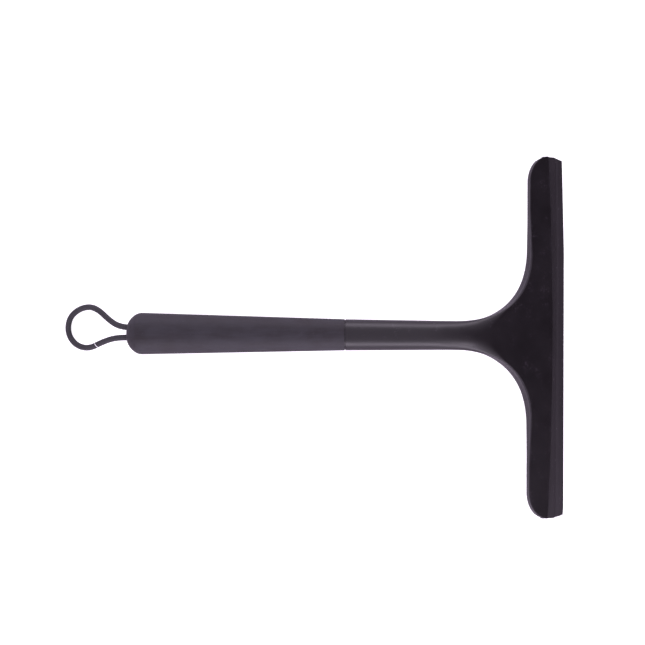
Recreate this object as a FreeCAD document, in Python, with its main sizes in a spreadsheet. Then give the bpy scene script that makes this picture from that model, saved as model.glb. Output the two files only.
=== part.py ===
"""Window cleaning squeegee.

A T-shaped head with a slide-in rubber blade, a round neck whose spigot is pressed into a
rigid core, a soft grip over that core, and a cord loop to hang it up by.

The squeegee lies face up on z = 0.  +X runs along the handle towards the blade, +Y across
the head.  The origin is under the middle of the body, the cord loop not counted.
Millimetres and degrees.
"""

import FreeCAD, Part

import math
import os

import Sketcher
from FreeCAD import Placement, Rotation, Vector

# alias, value, meaning
SIZES = [
    ("overall_length", 290.7, "dome of the grip to the lip of the blade"),
    ("head_width", 240.0, "head and blade, end to end"),
    ("handle_tilt", 1.5, "rise of the handle axis towards the head"),
    ("head_tilt", 18.0, "fall of the head towards the lip"),
    ("nose_radius", 11.4, "rounding of the grip's closed end"),
    ("nose_flat", 2.3, "radius of the flat middle of that end"),
    ("grip_length", 145.0, "grip, along its axis"),
    ("grip_end_radius", 10.3, "grip, outside, at the neck"),
    ("grip_wall", 2.0, "soft grip, wall thickness"),
    ("edge_round", 0.4, "rounding of both edges at the seam"),
    ("seam_gap", 0.5, "groove between the grip and the neck"),
    ("bore_radius", 6.6, "core, bore for the spigot and the anchor"),
    ("bore_start", 6.0, "core, inner face of its end wall"),
    ("cord_diameter", 3.65, "hanging cord"),
    ("cord_hole_radius", 2.05, "each cord hole through grip and core"),
    ("cord_spacing", 6.65, "between the two cord holes"),
    ("cord_shift", 0.625, "middle of the two holes, off the axis"),
    ("anchor_radius", 6.4, "cord anchor"),
    ("anchor_start", 13.0, "cord anchor, face towards the end wall"),
    ("anchor_length", 9.0, "cord anchor"),
    ("spigot_start", 72.0, "free end of the spigot"),
    ("rib_thickness", 2.6, "each rib of the spigot's cross"),
    ("neck_end", 212.0, "where the neck starts to bend"),
    ("neck_end_radius", 9.55, "neck, where it starts to bend"),
    ("face_height", 3.2, "head's face, above the blade's mid-plane"),
    ("root_depth", 6.8, "head's underside, below that plane, where the neck joins"),
    ("edge_depth", 2.8, "the same along the jaws and at the arms' ends"),
    ("taper_start", 42.0, "middle to where each arm starts to get thinner"),
    ("taper_end", 105.0, "middle to where each arm is at its thinnest"),
    ("head_back", 24.3, "lip to the straight back edge of the head"),
    ("jaw_setback", 8.9, "lip to the jaws, in the middle"),
    ("jaw_bow", 3.3, "how much further back the jaws are at the ends"),
    ("corner_length", 17.2, "rounded end of the arm, across the head"),
    ("flare_start", 217.2, "dome to the start of the flare"),
    ("flare_root", 9.57, "half width at the start of the flare"),
    ("flare_reach", 57.4, "half width at the end of the flare"),
    ("flare_power", 2.22, "fullness of the flare's curve"),
    ("plate_flare", 240.0, "dome to where the plate carries the flare's outline"),
    ("plate_root", 62.0, "lip to the plate's end inside the neck"),
    ("plate_root_half", 6.6, "half width of that end"),
    ("bend_end", 42.0, "lip to the last section of the neck's bend"),
    ("bend_end_half", 4.8, "half height of that section"),
    ("rim_round", 0.6, "edge of the head's face"),
    ("mouth_gap", 3.1, "channel, between the jaws"),
    ("channel_mouth", 15.6, "lip to the wide part of the channel"),
    ("channel_back", 20.0, "lip to the back of the channel"),
    ("channel_height", 4.2, "wide part of the channel"),
    ("bead_clear", 0.1, "between the blade's bead and the channel"),
    ("edge_thickness", 1.4, "blade, at the very edge of the lip"),
    ("lip_thickness", 2.3, "blade, lip"),
    ("lip_bevel", 1.4, "blade, length of the bevel at the edge"),
    ("lip_length", 4.7, "blade, edge to waist"),
    ("waist_thickness", 1.9, "blade, waist"),
    ("waist_length", 1.8, "blade, waist"),
    ("waist_slope", 0.3, "blade, each side of the waist"),
    ("shoulder_thickness", 2.9, "blade, shoulder between the jaws"),
    ("lip_inset", 2.5, "slant of each end of the blade, at the lip"),
    ("bead_inset", 3.6, "chamfer of each end of the blade, at the bead"),
    ("cut_margin", 5.0, "how far a cutting outline runs past what it cuts"),
]

# The cord's route, end to end: the corners that its arcs round off.
CORD_ROUTE = [
    (-129.85, 2.60, 13.70),
    (-138.35, 3.95, 13.45),
    (-147.35, 4.20, 13.20),
    (-154.30, 7.25, 12.00),
    (-165.60, 17.85, 7.20),
    (-175.40, 17.30, 4.10),
    (-183.30, 11.00, 2.15),
    (-184.40, 0.55, 1.90),
    (-178.95, -7.60, 3.20),
    (-169.75, -10.15, 6.25),
    (-159.80, -5.30, 10.20),
    (-151.00, -2.70, 12.75),
    (-138.35, -2.70, 13.40),
    (-129.85, -2.00, 13.75),
]
ARC_SHARE = 0.45  # of the shorter run beside a corner

TILT_AXIS = Vector(0, 1, 0)
FLARE_POINTS = 8
BEND_SECTIONS = 5
CLOSE = 0.01  # two lengths this near each other are taken to be the same

doc = FreeCAD.newDocument("squeegee")
sheet = doc.addObject("Spreadsheet::Sheet", "Sizes")
for row, (alias, value, meaning) in enumerate(SIZES, start=1):
    sheet.set(f"A{row}", meaning)
    sheet.set(f"B{row}", str(value))
    sheet.setAlias(f"B{row}", alias)
doc.recompute()


def size(alias):
    """A driving dimension as a number."""
    return float(sheet.get(alias))


class Cells:
    """Cells.name is a driving dimension as an expression writes it."""

    def __getattr__(self, alias):
        return f"Sizes.{alias}"


cell = Cells()


def value_of(expression):
    """What an expression on the sheet comes to."""
    result = sheet.evalExpression(expression)
    return float(getattr(result, "Value", result))


# Two frames, each turned about +Y: the handle's starts at the dome, with X along the grip,
# and the head's at the middle of the lip's edge, with X along the plate, towards the lip.
HANDLE_ANGLE = f"-({cell.handle_tilt} * 1 deg)"
HANDLE_X = f"-{cell.overall_length} / 2"
HANDLE_Z = (
    f"{cell.nose_radius} * (1 + sin({HANDLE_ANGLE})) + {cell.nose_flat} * cos({HANDLE_ANGLE})"
)
HEAD_ANGLE = f"({cell.head_tilt} * 1 deg)"
HEAD_X = f"{cell.overall_length} / 2 - {cell.edge_thickness} / 2 * sin({HEAD_ANGLE})"
HEAD_Z = f"{cell.edge_thickness} / 2 * cos({HEAD_ANGLE})"


def place(obj, x, z, angle):
    """Puts obj at (x, 0, z), turned about +Y."""
    obj.Placement = Placement(Vector(0, 0, 0), Rotation(TILT_AXIS, 1))
    obj.setExpression("Placement.Base.x", x)
    obj.setExpression("Placement.Base.z", z)
    obj.setExpression("Placement.Rotation.Angle", angle)


def place_on_handle(obj):
    place(obj, HANDLE_X, HANDLE_Z, HANDLE_ANGLE)


def place_on_head(obj):
    place(obj, HEAD_X, HEAD_Z, HEAD_ANGLE)


def placement_of(x, z, angle):
    """The placement that place() gives, as numbers."""
    turn = Rotation(TILT_AXIS, value_of(angle))
    return Placement(Vector(value_of(x), 0, value_of(z)), turn)


def new_body(name):
    body = doc.addObject("PartDesign::Body", name)
    body.Label = name
    return body


def new_sketch(body, name, plane):
    """A sketch on one of the body's own origin planes."""
    sketch = body.newObject("Sketcher::SketchObject", name)
    support = [f for f in body.Origin.OriginFeatures if f.Role == plane][0]
    sketch.AttachmentSupport = [(support, "")]
    sketch.MapMode = "FlatFace"
    return sketch


def bind(sketch, kind, expression, *elements):
    """Adds a constraint whose value is an expression."""
    at = sketch.addConstraint(Sketcher.Constraint(kind, *elements, value_of(expression)))
    sketch.setExpression(f"Constraints[{at}]", expression)


def tie(sketch, geometry, vertex, x, y):
    """Ties a vertex to two expressions, measured from the sketch's origin."""
    bind(sketch, "DistanceX", x, -1, 1, geometry, vertex)
    bind(sketch, "DistanceY", y, -1, 1, geometry, vertex)


def point_of(corner):
    x, y = corner
    return Vector(value_of(x), value_of(y), 0)


def draw_outline(sketch, corners, arc_from=None, arc_radius=None):
    """A closed outline of straight lines through corners, each an (x, y) of expressions.

    Between corner arc_from and the next, it is a clockwise quarter circle instead, whose
    own first vertex is at its far end.
    """
    points = [point_of(corner) for corner in corners]
    count = len(points)
    for i in range(count):
        here, there = points[i], points[(i + 1) % count]
        if i == arc_from:
            centre = Vector(there.x, here.y, 0)
            middle = centre + Vector(-1, 1, 0).normalize() * (there.x - here.x)
            sketch.addGeometry(Part.Arc(here, middle, there))
            bind(sketch, "Radius", arc_radius, i)
        else:
            sketch.addGeometry(Part.LineSegment(here, there))
    for i in range(count):
        following = (i + 1) % count
        ends = (1 if i == arc_from else 2, 2 if following == arc_from else 1)
        sketch.addConstraint(Sketcher.Constraint("Coincident", i, ends[0], following, ends[1]))
    for i, (x, y) in enumerate(corners):
        tie(sketch, i, 2 if i == arc_from else 1, x, y)


def draw_circle(sketch, x, y, radius):
    centre = point_of((x, y))
    at = sketch.addGeometry(Part.Circle(centre, Vector(0, 0, 1), value_of(radius)))
    tie(sketch, at, 3, x, y)
    bind(sketch, "Radius", radius, at)


def revolve(body, sketch, kind="Revolution"):
    """Turns a sketch about its own horizontal axis: a Revolution adds, a Groove cuts."""
    turned = body.newObject(f"PartDesign::{kind}", f"{sketch.Name}_turned")
    turned.Profile = sketch
    turned.ReferenceAxis = (sketch, ["H_Axis"])
    turned.Angle = 360
    return turned


def pad(body, sketch, length):
    """Extrudes a sketch by half of length to each side."""
    added = body.newObject("PartDesign::Pad", f"{sketch.Name}_pad")
    added.Profile = sketch
    added.SideType = "Symmetric"
    added.setExpression("Length", length)
    return added


def pocket(body, sketch, length, reverse=False):
    """Cuts a sketch out of the body, right through both ways if length is None."""
    doc.recompute()
    before = body.Shape.Volume
    cut = body.newObject("PartDesign::Pocket", f"{sketch.Name}_pocket")
    cut.Profile = sketch
    if length is None:
        cut.SideType = "Symmetric"
        cut.Type = "ThroughAll"
    else:
        cut.Reversed = reverse
        cut.setExpression("Length", length)
    doc.recompute()
    if not 0 < body.Shape.Volume < before:
        raise RuntimeError(f"{cut.Name} cuts nothing")
    return cut


def round_edges(body, base, radius, wanted):
    """Fillets the edges of base for which wanted(edge) is true."""
    doc.recompute()
    names = [f"Edge{i}" for i, e in enumerate(base.Shape.Edges, start=1) if wanted(e)]
    rounded = body.newObject("PartDesign::Fillet", f"{base.Name}_round")
    rounded.Base = (base, names)
    rounded.setExpression("Radius", radius)
    doc.recompute()
    return rounded


def draw_dome(sketch, inset, collar="0"):
    """Half of the grip's outline, moved in by inset, with a straight collar at its open end."""
    nose_top = f"{cell.nose_radius} + {cell.nose_flat} - {inset}"
    end_radius = f"{cell.grip_end_radius} - {inset}"
    corners = [
        (inset, "0"),
        (inset, cell.nose_flat),
        (cell.nose_radius, nose_top),
        (cell.grip_length, end_radius),
    ]
    if value_of(collar) > 0:
        corners.append((f"{cell.grip_length} + {collar}", end_radius))
    corners.append((f"{cell.grip_length} + {collar}", "0"))
    draw_outline(sketch, corners, arc_from=1, arc_radius=f"{cell.nose_radius} - {inset}")


def cut_cord_holes(body):
    """Two holes along the axis, through the closed end."""
    sketch = new_sketch(body, f"{body.Name}_cord_holes", "YZ_Plane")
    for side in "+-":
        across = f"{cell.cord_shift} {side} {cell.cord_spacing} / 2"
        draw_circle(sketch, across, "0", cell.cord_hole_radius)
    pocket(body, sketch, cell.anchor_start, reverse=True)


def make_grip_sleeve():
    """The soft grip: a domed sleeve, open towards the neck."""
    body = new_body("grip_sleeve")
    outside = new_sketch(body, "grip_outside", "XZ_Plane")
    draw_dome(outside, "0")
    turned = revolve(body, outside)

    def at_the_seam(edge):
        return edge.BoundBox.XMin > size("grip_length") - CLOSE

    round_edges(body, turned, cell.edge_round, at_the_seam)
    inside = new_sketch(body, "grip_inside", "XZ_Plane")
    draw_dome(inside, cell.grip_wall)
    revolve(body, inside, "Groove")
    cut_cord_holes(body)
    place_on_handle(body)
    return body


def make_handle_core():
    """The rigid tube under the grip, with an end wall that the cord comes through."""
    body = new_body("handle_core")
    outside = new_sketch(body, "core_outside", "XZ_Plane")
    draw_dome(outside, cell.grip_wall, collar=cell.seam_gap)
    revolve(body, outside)
    bore = new_sketch(body, "core_bore", "XZ_Plane")
    open_end = f"{cell.grip_length} + {cell.seam_gap}"
    bore_corners = [
        (cell.bore_start, "0"),
        (cell.bore_start, cell.bore_radius),
        (open_end, cell.bore_radius),
        (open_end, "0"),
    ]
    draw_outline(bore, bore_corners)
    revolve(body, bore, "Groove")
    cut_cord_holes(body)
    place_on_handle(body)
    return body


def make_neck():
    """The round neck with its shoulder at the seam, and the spigot's ribs behind it."""
    body = new_body("neck")
    section = new_sketch(body, "neck_section", "XZ_Plane")
    shoulder = f"{cell.grip_length} + {cell.seam_gap}"
    corners = [
        (shoulder, "0"),
        (shoulder, cell.grip_end_radius),
        (cell.neck_end, cell.neck_end_radius),
        (cell.neck_end, "0"),
    ]
    draw_outline(section, corners)
    turned = revolve(body, section)

    def at_the_shoulder(edge):
        return edge.BoundBox.XMax < value_of(shoulder) + CLOSE

    round_edges(body, turned, cell.edge_round, at_the_shoulder)
    ribs = new_sketch(body, "spigot_ribs", "YZ_Plane")
    half = f"{cell.rib_thickness} / 2"
    reach = f"sqrt({cell.bore_radius} ^ 2 - ({half}) ^ 2)"
    quarter = [(reach, half), (half, half), (half, reach)]
    cross = quarter
    cross = cross + [(f"-({x})", y) for x, y in reversed(quarter)]
    cross = cross + [(x, f"-({y})") for x, y in reversed(cross)]
    draw_outline(ribs, cross)
    ribs.AttachmentOffset = Placement(Vector(0, 0, 1), Rotation())
    ribs.setExpression("AttachmentOffset.Base.z", cell.spigot_start)
    spigot = body.newObject("PartDesign::Pad", "spigot")
    spigot.Profile = ribs
    spigot.setExpression("Length", f"{shoulder} + {cell.bore_start} - {cell.spigot_start}")
    place_on_handle(body)
    return body


def flare_half_width(along):
    """Half the width of the flare, seen from above, at a distance from the dome."""
    start, root, reach, power = (
        size(alias) for alias in ("flare_start", "flare_root", "flare_reach", "flare_power")
    )
    if along <= start:
        return root
    share = (along - start) / flare_depth()
    return reach - (reach - root) * (1 - share**power) ** (1 / power)


def flare_depth():
    """From the start of the flare to the straight back edge, seen from above."""
    return seen_from_above(-size("head_back")) - size("flare_start")


def seen_from_above(along_plate):
    """The distance from the dome of a line on the plate's bottom edge, which shows first."""
    tilt = math.radians(size("head_tilt"))
    lip = value_of(HEAD_X) + size("overall_length") / 2
    return lip + along_plate * math.cos(tilt) - size("root_depth") * math.sin(tilt)


def along_plate(seen):
    """The inverse of seen_from_above."""
    return (seen - seen_from_above(0)) / math.cos(math.radians(size("head_tilt")))


def flare_curve():
    """The flare's outline on the plate, from the neck to the straight back edge."""
    power = size("flare_power")
    first_share = (size("plate_flare") - size("flare_start")) / flare_depth()
    first_angle = math.asin(first_share ** (power / 2))
    points = []
    for i in range(FLARE_POINTS):
        angle = first_angle + (math.pi / 2 - first_angle) * i / (FLARE_POINTS - 1)
        seen = size("flare_start") + flare_depth() * math.sin(angle) ** (2 / power)
        rise = (size("flare_reach") - size("flare_root")) * math.cos(angle) ** (2 / power)
        points.append(Vector(along_plate(seen), size("flare_reach") - rise, 0))
    curve = Part.BSplineCurve()
    curve.interpolate(points)
    return curve


def mirrored(geometry):
    other = geometry.copy()
    other.mirror(Vector(0, 0, 0), Vector(1, 0, 0))
    return other


def draw_head_outline(sketch):
    """The plate seen square on: neck end, flares, arms, rounded ends and bowed jaws."""
    half = size("head_width") / 2
    jaw_end = -size("jaw_setback") - size("jaw_bow")
    back = -size("head_back")
    corner_top = Vector(jaw_end, half, 0)
    corner_side = Vector(back, half - size("corner_length"), 0)
    corner_centre = Vector(jaw_end, corner_side.y, 0)
    corner = Part.ArcOfEllipse(
        Part.Ellipse(corner_top, corner_side, corner_centre), 0, math.pi / 2
    )
    flare = flare_curve()
    root = Vector(-size("plate_root"), size("plate_root_half"), 0)
    half_outline = [
        Part.LineSegment(root, flare.StartPoint),
        flare,
        Part.LineSegment(flare.EndPoint, corner_side),
        corner,
    ]
    jaws = Part.Arc(
        Vector(jaw_end, half, 0),
        Vector(-size("jaw_setback"), 0, 0),
        Vector(jaw_end, -half, 0),
    )
    root_line = Part.LineSegment(root, Vector(root.x, -root.y, 0))
    for geometry in half_outline:
        sketch.addGeometry(geometry)
        sketch.addGeometry(mirrored(geometry))
    sketch.addGeometry(root_line)
    sketch.addGeometry(jaws)


def thin_the_underside(body):
    """Cuts the underside up towards the jaws, and up along each arm."""
    root, edge = f"-{cell.root_depth}", f"-{cell.edge_depth}"
    deep = f"-({cell.root_depth} + {cell.cut_margin})"
    wedge = new_sketch(body, "underside_wedge", "XZ_Plane")
    corners = [
        (cell.cut_margin, edge),
        (f"-{cell.jaw_setback}", edge),
        (f"-{cell.head_back}", root),
        (f"-{cell.head_back}", deep),
        (cell.cut_margin, deep),
    ]
    draw_outline(wedge, corners)
    pocket(body, wedge, None)
    beyond = f"({cell.head_width} / 2 + {cell.cut_margin})"
    for side, sign in (("left", ""), ("right", "-")):
        taper = new_sketch(body, f"{side}_arm_taper", "YZ_Plane")
        corners = [
            (f"{sign}{cell.taper_start}", root),
            (f"{sign}{cell.taper_end}", edge),
            (f"{sign}{beyond}", edge),
            (f"{sign}{beyond}", deep),
            (f"{sign}{cell.taper_start}", deep),
        ]
        draw_outline(taper, corners)
        pocket(body, taper, None)


def make_head_plate():
    """The T-shaped plate with the blade's channel along its front."""
    body = new_body("head_plate")
    outline = new_sketch(body, "head_outline", "XY_Plane")
    draw_head_outline(outline)
    outline.AttachmentOffset = Placement(Vector(0, 0, 1), Rotation())
    middle = f"({cell.face_height} - {cell.root_depth}) / 2"
    outline.setExpression("AttachmentOffset.Base.z", middle)
    plate = pad(body, outline, f"{cell.face_height} + {cell.root_depth}")

    def around_the_face(edge):
        box = edge.BoundBox
        flat = box.ZLength < CLOSE and abs(box.ZMin - size("face_height")) < CLOSE
        return flat and box.XMax > CLOSE - size("plate_root")

    round_edges(body, plate, cell.rim_round, around_the_face)
    thin_the_underside(body)
    channel = new_sketch(body, "channel_section", "XZ_Plane")
    half_gap = f"{cell.mouth_gap} / 2"
    half_height = f"{cell.channel_height} / 2"
    upper_side = [
        (cell.cut_margin, half_gap),
        (f"-{cell.channel_mouth}", half_gap),
        (f"-{cell.channel_mouth}", half_height),
        (f"-{cell.channel_back}", half_height),
    ]
    lower_side = [(x, f"-({y})") for x, y in reversed(upper_side)]
    draw_outline(channel, upper_side + lower_side)
    pocket(body, channel, None)
    place_on_head(body)
    return body


def make_neck_bend():
    """The sections that turn the round neck down into the flat plate, lofted."""
    handle = placement_of(HANDLE_X, HANDLE_Z, HANDLE_ANGLE)
    head = placement_of(HEAD_X, HEAD_Z, HEAD_ANGLE)
    start = handle.multVec(Vector(size("neck_end"), 0, 0))
    plate_middle = (size("face_height") - size("root_depth")) / 2
    end = head.multVec(Vector(-size("bend_end"), 0, plate_middle))
    start_slope = math.tan(math.radians(size("handle_tilt")))
    end_slope = -math.tan(math.radians(size("head_tilt")))
    meet_x = (end.z - start.z + start_slope * start.x - end_slope * end.x) / (
        start_slope - end_slope
    )
    meet = Vector(meet_x, 0, start.z + start_slope * (meet_x - start.x))
    stand_up = Rotation(Vector(1, 1, 1), 120)  # X to Y, Y to Z, Z to X
    sections = []
    for i in range(BEND_SECTIONS):
        share = i / (BEND_SECTIONS - 1)
        centre = start * (1 - share) ** 2 + meet * 2 * share * (1 - share) + end * share**2
        heading = (meet - start) * (1 - share) + (end - meet) * share
        dip = math.degrees(math.atan2(-heading.z, heading.x))
        wide = flare_half_width(centre.x + size("overall_length") / 2)
        ease = share * share * (3 - 2 * share)
        high = size("neck_end_radius") * (1 - ease) + size("bend_end_half") * ease
        section = doc.addObject("Part::Ellipse", f"bend_section_{i + 1}")
        section.MajorRadius = max(wide - size("rim_round") * share, high) if i else high
        section.MinorRadius = high
        section.Placement = Placement(centre, Rotation(TILT_AXIS, dip) * stand_up)
        sections.append(section)
    bend = doc.addObject("Part::Loft", "neck_bend")
    bend.Sections = sections
    bend.Solid = True
    bend.Ruled = False
    return bend


def make_head_and_neck():
    """One moulding: plate, bend, neck and spigot."""
    fused = doc.addObject("Part::MultiFuse", "head_and_neck")
    fused.Label = "head_and_neck"
    fused.Shapes = [make_head_plate(), make_neck_bend(), make_neck()]
    fused.Refine = True
    return fused


def make_squeegee_blade():
    """The rubber strip: bead, shoulder, waist and bevelled lip, slanted at its ends."""
    body = new_body("squeegee_blade")
    section = new_sketch(body, "blade_section", "XZ_Plane")
    half_edge = f"{cell.edge_thickness} / 2"
    half_lip = f"{cell.lip_thickness} / 2"
    half_waist = f"{cell.waist_thickness} / 2"
    half_shoulder = f"{cell.shoulder_thickness} / 2"
    half_bead = f"{cell.channel_height} / 2 - {cell.bead_clear}"
    waist_back = f"{cell.lip_length} + {cell.waist_slope} * 2 + {cell.waist_length}"
    upper_side = [
        ("0", half_edge),
        (f"-{cell.lip_bevel}", half_lip),
        (f"-{cell.lip_length}", half_lip),
        (f"-({cell.lip_length} + {cell.waist_slope})", half_waist),
        (f"-({waist_back} - {cell.waist_slope})", half_waist),
        (f"-({waist_back})", half_shoulder),
        (f"-({cell.channel_mouth} + {cell.bead_clear})", half_shoulder),
        (f"-({cell.channel_mouth} + {cell.bead_clear})", half_bead),
        (f"-({cell.channel_back} - {cell.bead_clear})", half_bead),
    ]
    lower_side = [(x, f"-({y})") for x, y in reversed(upper_side)]
    draw_outline(section, upper_side + lower_side)
    pad(body, section, cell.head_width)
    half = f"{cell.head_width} / 2"
    at_lip = f"({half} - {cell.lip_inset})"
    at_bead = f"({half} - {cell.bead_inset})"
    beyond = f"({half} + {cell.cut_margin})"
    past_bead = f"-({cell.channel_back} + {cell.cut_margin})"
    for side, sign in (("left", ""), ("right", "-")):
        ends = new_sketch(body, f"{side}_end_cut", "XY_Plane")
        corners = [
            (f"-({cell.jaw_setback} + {cell.jaw_bow} / 2)", f"{sign}({half})"),
            ("0", f"{sign}{at_lip}"),
            (cell.cut_margin, f"{sign}{at_lip}"),
            (cell.cut_margin, f"{sign}{beyond}"),
            (past_bead, f"{sign}{beyond}"),
            (past_bead, f"{sign}{at_bead}"),
            (f"-{cell.channel_back}", f"{sign}{at_bead}"),
            (f"-{cell.channel_mouth}", f"{sign}({half})"),
        ]
        draw_outline(ends, corners)
        pocket(body, ends, None)
    place_on_head(body)
    return body


def cord_wire(radius_out):
    """Straight runs joined by tangent arcs along the route; radius_out gets the radii."""
    corners = [Vector(*corner) for corner in CORD_ROUTE]
    edges = []
    at = corners[0]
    for before, corner, after in zip(corners, corners[1:], corners[2:]):
        back, ahead = before - corner, after - corner
        reach = ARC_SHARE * min(back.Length, ahead.Length)
        half_turn = (math.pi - back.getAngle(ahead)) / 2
        radius = reach / math.tan(half_turn)
        radius_out.append(radius)
        first = corner + back.normalize() * reach
        last = corner + ahead.normalize() * reach
        inward = (back + ahead).normalize()
        middle = corner + inward * (radius / math.cos(half_turn) - radius)
        edges.append(Part.LineSegment(at, first).toShape())
        edges.append(Part.Arc(first, middle, last).toShape())
        at = last
    edges.append(Part.LineSegment(at, corners[-1]).toShape())
    return Part.Wire(edges)


def make_hanging_cord():
    """The cord, from one socket of the anchor out round the loop to the other."""
    radii = []
    path = cord_wire(radii)
    start = path.Edges[0]
    heading = start.tangentAt(start.FirstParameter)
    half = size("cord_diameter") / 2
    section = Part.Wire(Part.Circle(Vector(*CORD_ROUTE[0]), heading, half).toShape())
    tube = path.makePipeShell([section], True, True)
    expected = math.pi * half**2 * path.Length
    print("cord radii, mm:", " ".join(f"{radius:.1f}" for radius in radii))
    print(f"cord length {path.Length:.1f} mm")
    print(f"tube volume {tube.Volume / expected:.4f} of its section times its length")
    cord = doc.addObject("Part::Feature", "hanging_cord")
    cord.Label = "hanging_cord"
    cord.Shape = tube
    return cord


def make_cord_anchor(cord):
    """The plug behind the end wall that both ends of the cord are bonded into."""
    plug = doc.addObject("Part::Cylinder", "anchor_plug")
    plug.setExpression("Radius", cell.anchor_radius)
    plug.setExpression("Height", cell.anchor_length)
    handle = placement_of(HANDLE_X, HANDLE_Z, HANDLE_ANGLE)
    along = Placement(Vector(size("anchor_start"), 0, 0), Rotation(TILT_AXIS, 90))
    plug.Placement = handle.multiply(along)
    anchor = doc.addObject("Part::Cut", "cord_anchor")
    anchor.Label = "cord_anchor"
    anchor.Base = plug
    anchor.Tool = cord
    return anchor


cord = make_hanging_cord()
pieces = [
    make_head_and_neck(),
    make_squeegee_blade(),
    make_handle_core(),
    make_grip_sleeve(),
    make_cord_anchor(cord),
    cord,
]
doc.recompute()

for obj in doc.Objects:
    if "Invalid" in obj.State or "Error" in obj.State:
        raise RuntimeError(f"{obj.Name} failed: {obj.State}")
for piece in pieces:
    shape = piece.Shape
    if shape.isNull() or not shape.isValid() or len(shape.Solids) != 1:
        raise RuntimeError(f"{piece.Label} is not one valid solid")

os.makedirs("parts", exist_ok=True)
for piece in pieces:
    piece.Shape.exportStep(f"parts/{piece.Label}.step")
    box = piece.Shape.BoundBox
    print(
        f"{piece.Label}: {piece.Shape.Volume / 1000:.2f} cm3,"
        f" x {box.XMin:.2f} {box.XMax:.2f}, y {box.YMin:.2f} {box.YMax:.2f},"
        f" z {box.ZMin:.2f} {box.ZMax:.2f}"
    )
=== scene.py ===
"""The looks of the window cleaning squeegee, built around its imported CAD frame.

The object lies face up: +X runs along the handle towards the blade, +Y across the head and
+Z up.  Blender works in metres.  The moulding, the grip and the blade are worked out in
millimetres, in the part's own two tilted frames, and are scaled when their meshes are made.
"""

import math

import bmesh
import bpy
import numpy as np
from mathutils import Euler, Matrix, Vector
from mathutils.geometry import delaunay_2d_cdt


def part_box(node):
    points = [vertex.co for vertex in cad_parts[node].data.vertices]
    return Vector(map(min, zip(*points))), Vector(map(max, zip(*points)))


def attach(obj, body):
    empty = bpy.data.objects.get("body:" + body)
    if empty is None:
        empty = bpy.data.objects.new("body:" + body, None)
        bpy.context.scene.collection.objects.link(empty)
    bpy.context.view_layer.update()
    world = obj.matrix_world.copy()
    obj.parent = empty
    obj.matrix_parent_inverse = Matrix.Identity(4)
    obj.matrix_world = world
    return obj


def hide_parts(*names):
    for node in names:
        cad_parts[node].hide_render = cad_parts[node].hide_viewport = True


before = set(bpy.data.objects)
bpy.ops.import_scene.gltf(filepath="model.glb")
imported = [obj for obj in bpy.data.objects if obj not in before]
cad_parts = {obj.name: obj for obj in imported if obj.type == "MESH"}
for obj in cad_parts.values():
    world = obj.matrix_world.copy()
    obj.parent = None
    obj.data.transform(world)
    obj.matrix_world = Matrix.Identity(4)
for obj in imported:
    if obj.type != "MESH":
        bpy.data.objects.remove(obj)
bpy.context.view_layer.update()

MM = 0.001
MERGE_DISTANCE = 2e-6  # metres
SHORTEST_EDGE = 1e-7  # metres
NEARLY_ZERO = 1e-6
SHARP_ANGLE = math.radians(32.0)

# ------------------------------------------------------------------ the part's dimensions
# In millimetres.  Places on the handle are measured along it from the dome, and FLARE_START
# level from the dome.  "u" is measured along the head's plate from the lip, negative towards
# the handle, and "w" square to it from the blade's mid-plane.  FACE is the upper face's w.
# ROOT_DEPTH and EDGE_DEPTH are how far below w = 0 the underside is, at the head's middle and
# along its jaws.

HANDLE_TILT = math.radians(1.5)
HEAD_TILT = math.radians(18.0)
NOSE_RADIUS = 11.4
NOSE_FLAT = 2.3
SHOULDER = 145.5
SHOULDER_RADIUS = 10.3
SEAM_ROUND = 0.4
COLLAR_INSET = 0.45
COLLAR_LENGTH = 0.46
NECK_END = 212.0
NECK_END_RADIUS = 9.55
BEND_END = -50.0
TOP_BEND_START = 194.0
TOP_BEND_END = -54.0
FACE = 3.2
ROOT_DEPTH = 6.8
EDGE_DEPTH = 2.8
TAPER_START = 42.0
TAPER_END = 85.0
HEAD_BACK = -24.55
ARM_BACK = -25.7
JAW_MIDDLE = -8.9
JAW_BOW = 3.3
CORNER_LENGTH = 17.2
FLARE_START = 217.8
FLARE_ROOT = 9.57
FLARE_REACH = 55.5
FLARE_POWER = 2.22
MOUTH_GAP = 3.1
CHANNEL_MOUTH = -15.6
CHANNEL_BACK = -20.0
CHANNEL_HEIGHT = 4.2
EDGE_THICKNESS = 1.4
BORE_RADIUS = 6.6
SPIGOT_START = 72.0
RIB_THICKNESS = 2.6
CORD_DIAMETER = 3.9

BLADE_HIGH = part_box("squeegee_blade")[1] / MM
HALF_WIDTH = BLADE_HIGH.y
LIP_X = BLADE_HIGH.x
DOME_X = -LIP_X  # the origin is under the middle of the body


def smooth(share):
    """0 to 1 with no kink at either end."""
    share = np.clip(share, 0.0, 1.0)
    return share * share * (3 - 2 * share)


def full_turn(count):
    """The angles of count points spread evenly round a circle."""
    return np.linspace(0, 2 * math.pi, count + 1)[:-1]


def quarter_turn(count):
    """Angles from 0 to a right angle, both among the count of them."""
    return np.linspace(0, math.pi / 2, count)


def meeting_point(first, first_way, second, second_way):
    """Where the line through first along first_way meets the one through second."""
    reach, _ = np.linalg.solve(np.column_stack([first_way, second_way]), second - first)
    return first + reach * first_way


def quadratic(share, start, corner, end):
    """The curve from start to end that leaves towards corner and arrives from it."""
    return (1 - share) ** 2 * start + 2 * share * (1 - share) * corner + share**2 * end


def handle_point(along, height=0.0):
    """(x, z) of a point on the handle: along it from the dome, and above its axis."""
    x = DOME_X + along * math.cos(HANDLE_TILT) - height * math.sin(HANDLE_TILT)
    axis_z = NOSE_RADIUS * (1 - math.sin(HANDLE_TILT)) + NOSE_FLAT * math.cos(HANDLE_TILT)
    return np.array([x, axis_z + along * math.sin(HANDLE_TILT) + height * math.cos(HANDLE_TILT)])


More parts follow.
